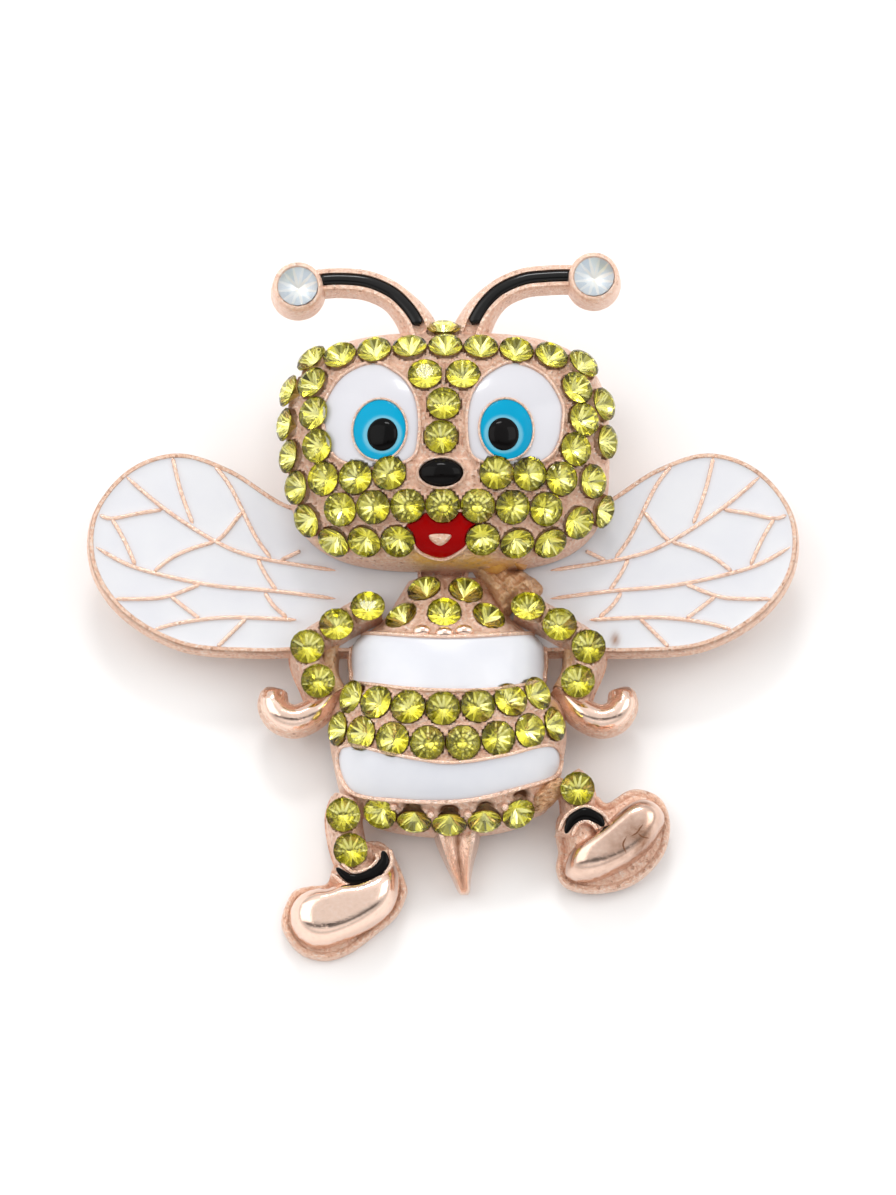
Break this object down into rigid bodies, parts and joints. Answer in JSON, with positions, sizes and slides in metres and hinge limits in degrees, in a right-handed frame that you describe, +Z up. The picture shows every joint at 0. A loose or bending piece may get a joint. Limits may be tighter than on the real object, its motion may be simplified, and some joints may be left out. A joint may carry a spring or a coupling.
{
  "type": "insect brooch",
  "caption": "Figural bee brooch: hollow cast head and body set with round stones, enamelled eyes, bands and veined wings, curled antennae, booted legs and a pin on the back.",
  "frame": {"origin": "middle of the brooch's bounding box, on the surface that it lies on", "axes": "+Y towards the head and the antennae, +X towards the right-hand wing as seen from above, +Z up from the surface, the way the face looks; the brooch leans on its pin by about 7 degrees"},
  "size_m": [0.0504, 0.0494, 0.0131],
  "materials": {
    "rose_gold": "polished, grainy between the stones",
    "pin_metal": "satin",
    "pearl_enamel": "pearly gloss",
    "white_enamel": "gloss",
    "turquoise_enamel": "gloss",
    "black_enamel": "gloss",
    "red_enamel": "gloss",
    "citrine": "faceted",
    "crystal": "faceted, iridescent"
  },
  "bodies": {
    "root": {"body_casting": "rose_gold", "head_casting": "rose_gold", "pin_back": "pin_metal", "left_wing_enamel": "pearl_enamel", "right_wing_enamel": "pearl_enamel", "chest_enamel": "white_enamel", "belly_enamel": "white_enamel", "left_eye_white": "white_enamel", "right_eye_white": "white_enamel", "left_iris": "turquoise_enamel", "right_iris": "turquoise_enamel", "left_pupil": "black_enamel", "right_pupil": "black_enamel", "nose": "black_enamel", "mouth_enamel": "red_enamel", "left_antenna_enamel": "black_enamel", "right_antenna_enamel": "black_enamel", "left_cuff_enamel": "black_enamel", "right_cuff_enamel": "black_enamel", "head_stones": "citrine", "body_stones": "citrine", "left_crystal": "crystal", "right_crystal": "crystal"}
  },
  "joints": []
}
